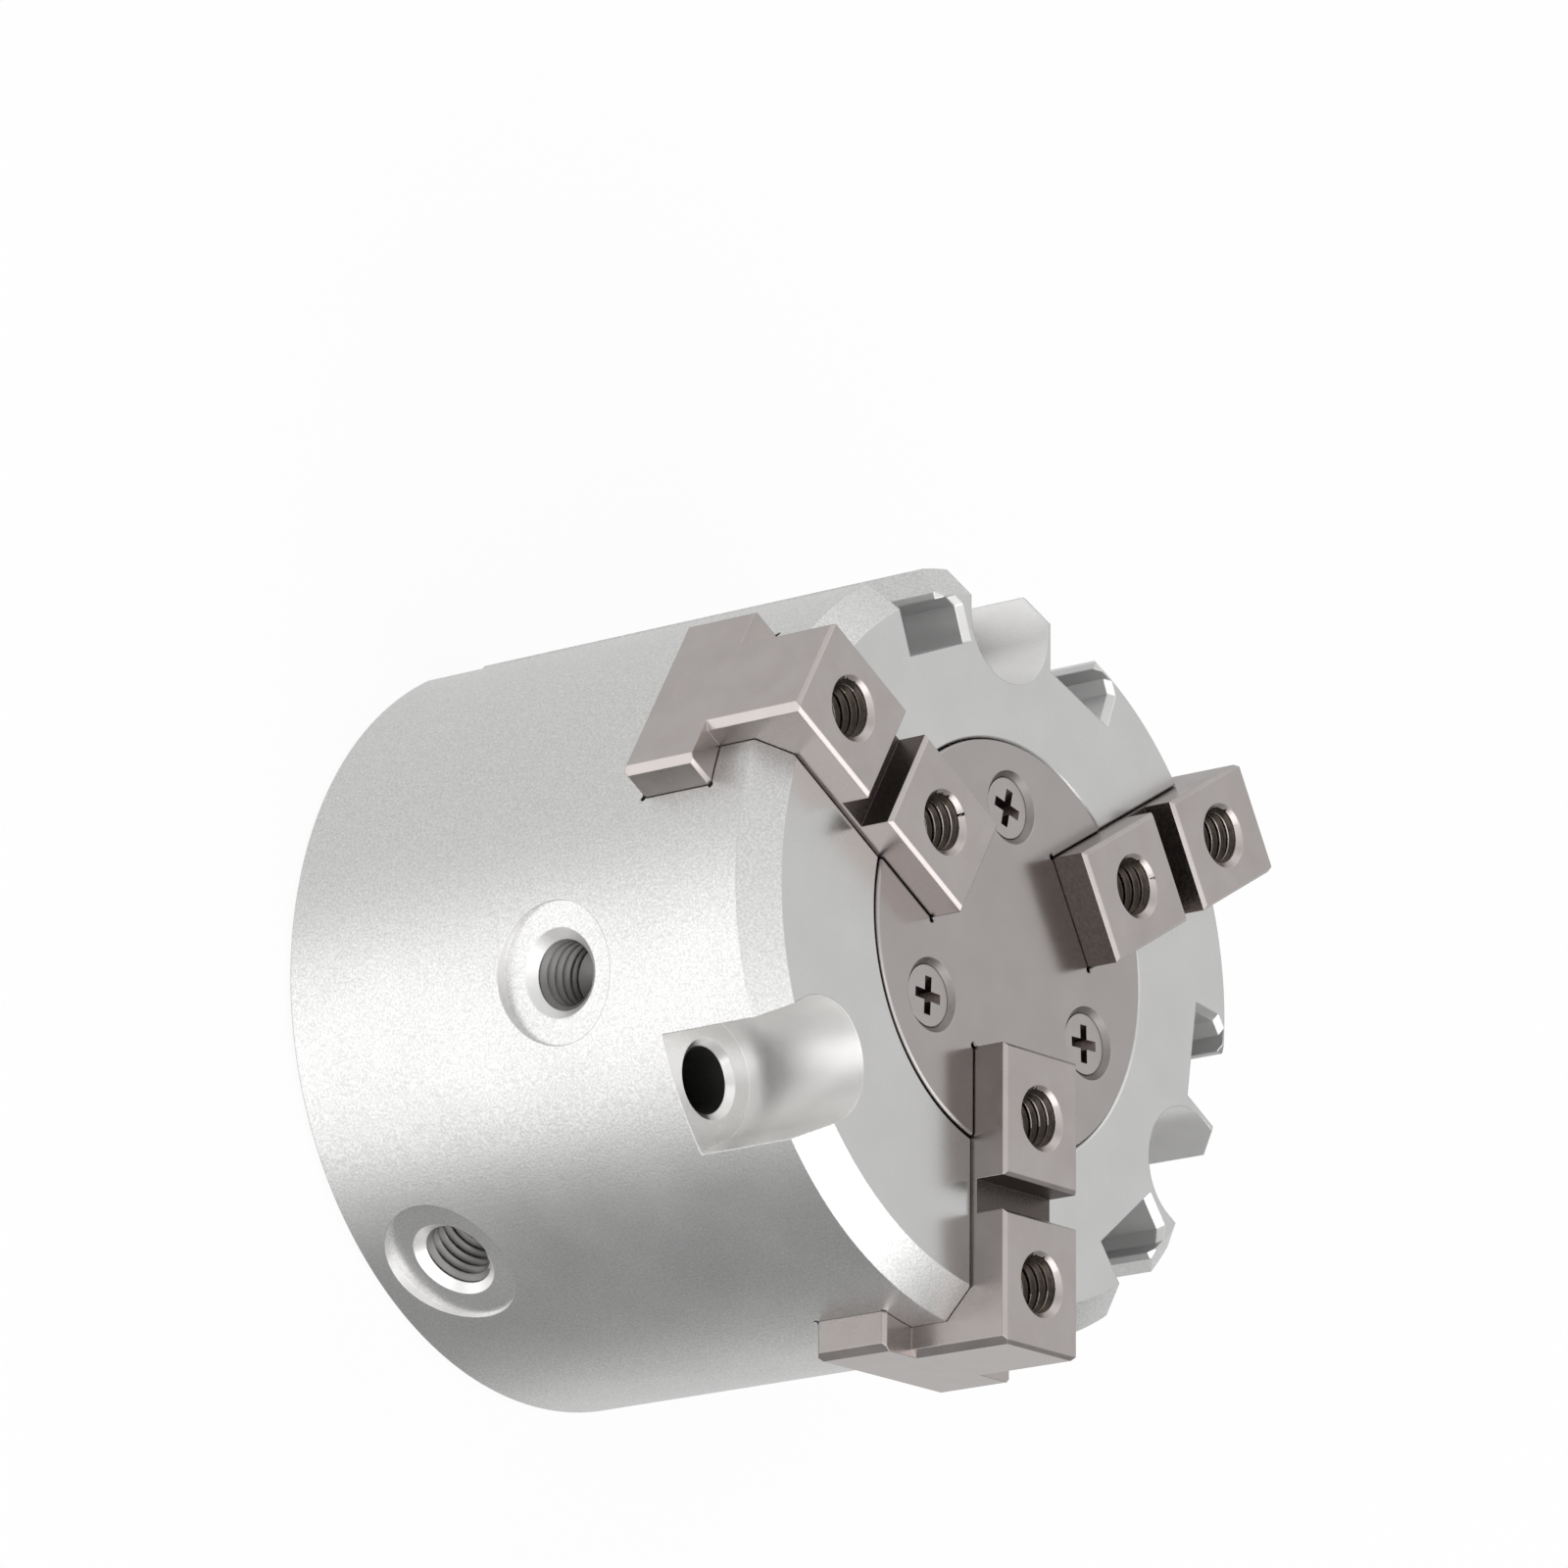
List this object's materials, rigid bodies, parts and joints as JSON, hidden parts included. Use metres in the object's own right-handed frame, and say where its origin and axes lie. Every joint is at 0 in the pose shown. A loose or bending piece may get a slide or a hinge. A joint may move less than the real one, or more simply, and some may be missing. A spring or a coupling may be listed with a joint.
{
  "type": "three-jaw pneumatic gripper",
  "caption": "Round-body pneumatic gripper whose radial T-slot jaws are driven together by a piston through a wedge cam, with side air ports and sensor grooves.",
  "frame": {"origin": "centre of the rear mounting face, on the body's axis", "axes": "+Z along the body's axis towards the jaws, +Y along the slide of jaw_2, the air ports facing -Y"},
  "size_m": [0.0542, 0.0537, 0.0438],
  "materials": {
    "anodised_aluminium": "bead blasted and clear anodised, front face and bores machined",
    "cover_steel": "smooth satin stainless sheet",
    "screw_steel": "plain stainless",
    "jaw_steel": "ground and nickel plated",
    "cam_steel": "hardened and ground",
    "rod_steel": "hard chromed and polished",
    "turned_aluminium": "turned and clear anodised",
    "seal_rubber": "moulded nitrile",
    "bumper_rubber": "moulded urethane",
    "magnet": "plastic-bonded ferrite",
    "guide_plastic": "filled bearing plastic",
    "ring_steel": "phosphated spring steel"
  },
  "bodies": {
    "housing": {"body": "anodised_aluminium", "cover_disc": "cover_steel", "cover_screw_1": "screw_steel", "cover_screw_2": "screw_steel", "cover_screw_3": "screw_steel", "rod_seal": "seal_rubber", "seal_retainer": "ring_steel", "front_bumper": "bumper_rubber", "rear_bumper": "bumper_rubber", "end_cap": "turned_aluminium", "cap_seal": "seal_rubber", "retaining_ring": "ring_steel"},
    "piston_unit": {"piston_rod": "rod_steel", "rod_gasket": "seal_rubber", "piston": "turned_aluminium", "piston_seal": "seal_rubber", "magnet_ring": "magnet", "wear_ring": "guide_plastic", "cam": "cam_steel", "cam_screw": "screw_steel"},
    "jaw_1": {"jaw_1": "jaw_steel"},
    "jaw_2": {"jaw_2": "jaw_steel"},
    "jaw_3": {"jaw_3": "jaw_steel"}
  },
  "joints": [
    {"name": "piston_slide", "type": "slide", "parent": "housing", "child": "piston_unit", "axis": [0, 0, 1], "range_m": [0, 0.004]},
    {"name": "jaw_1_slide", "type": "slide", "parent": "housing", "child": "jaw_1", "axis": [-0.866, -0.5, 0], "range_m": [0, 0.004]},
    {"name": "jaw_2_slide", "type": "slide", "parent": "housing", "child": "jaw_2", "axis": [0, 1, 0], "range_m": [0, 0.004]},
    {"name": "jaw_3_slide", "type": "slide", "parent": "housing", "child": "jaw_3", "axis": [0.866, -0.5, 0], "range_m": [0, 0.004]}
  ],
  "couplings": [
    {"joint": "jaw_1_slide", "follows": "piston_slide", "ratio": 1},
    {"joint": "jaw_2_slide", "follows": "piston_slide", "ratio": 1},
    {"joint": "jaw_3_slide", "follows": "piston_slide", "ratio": 1}
  ]
}
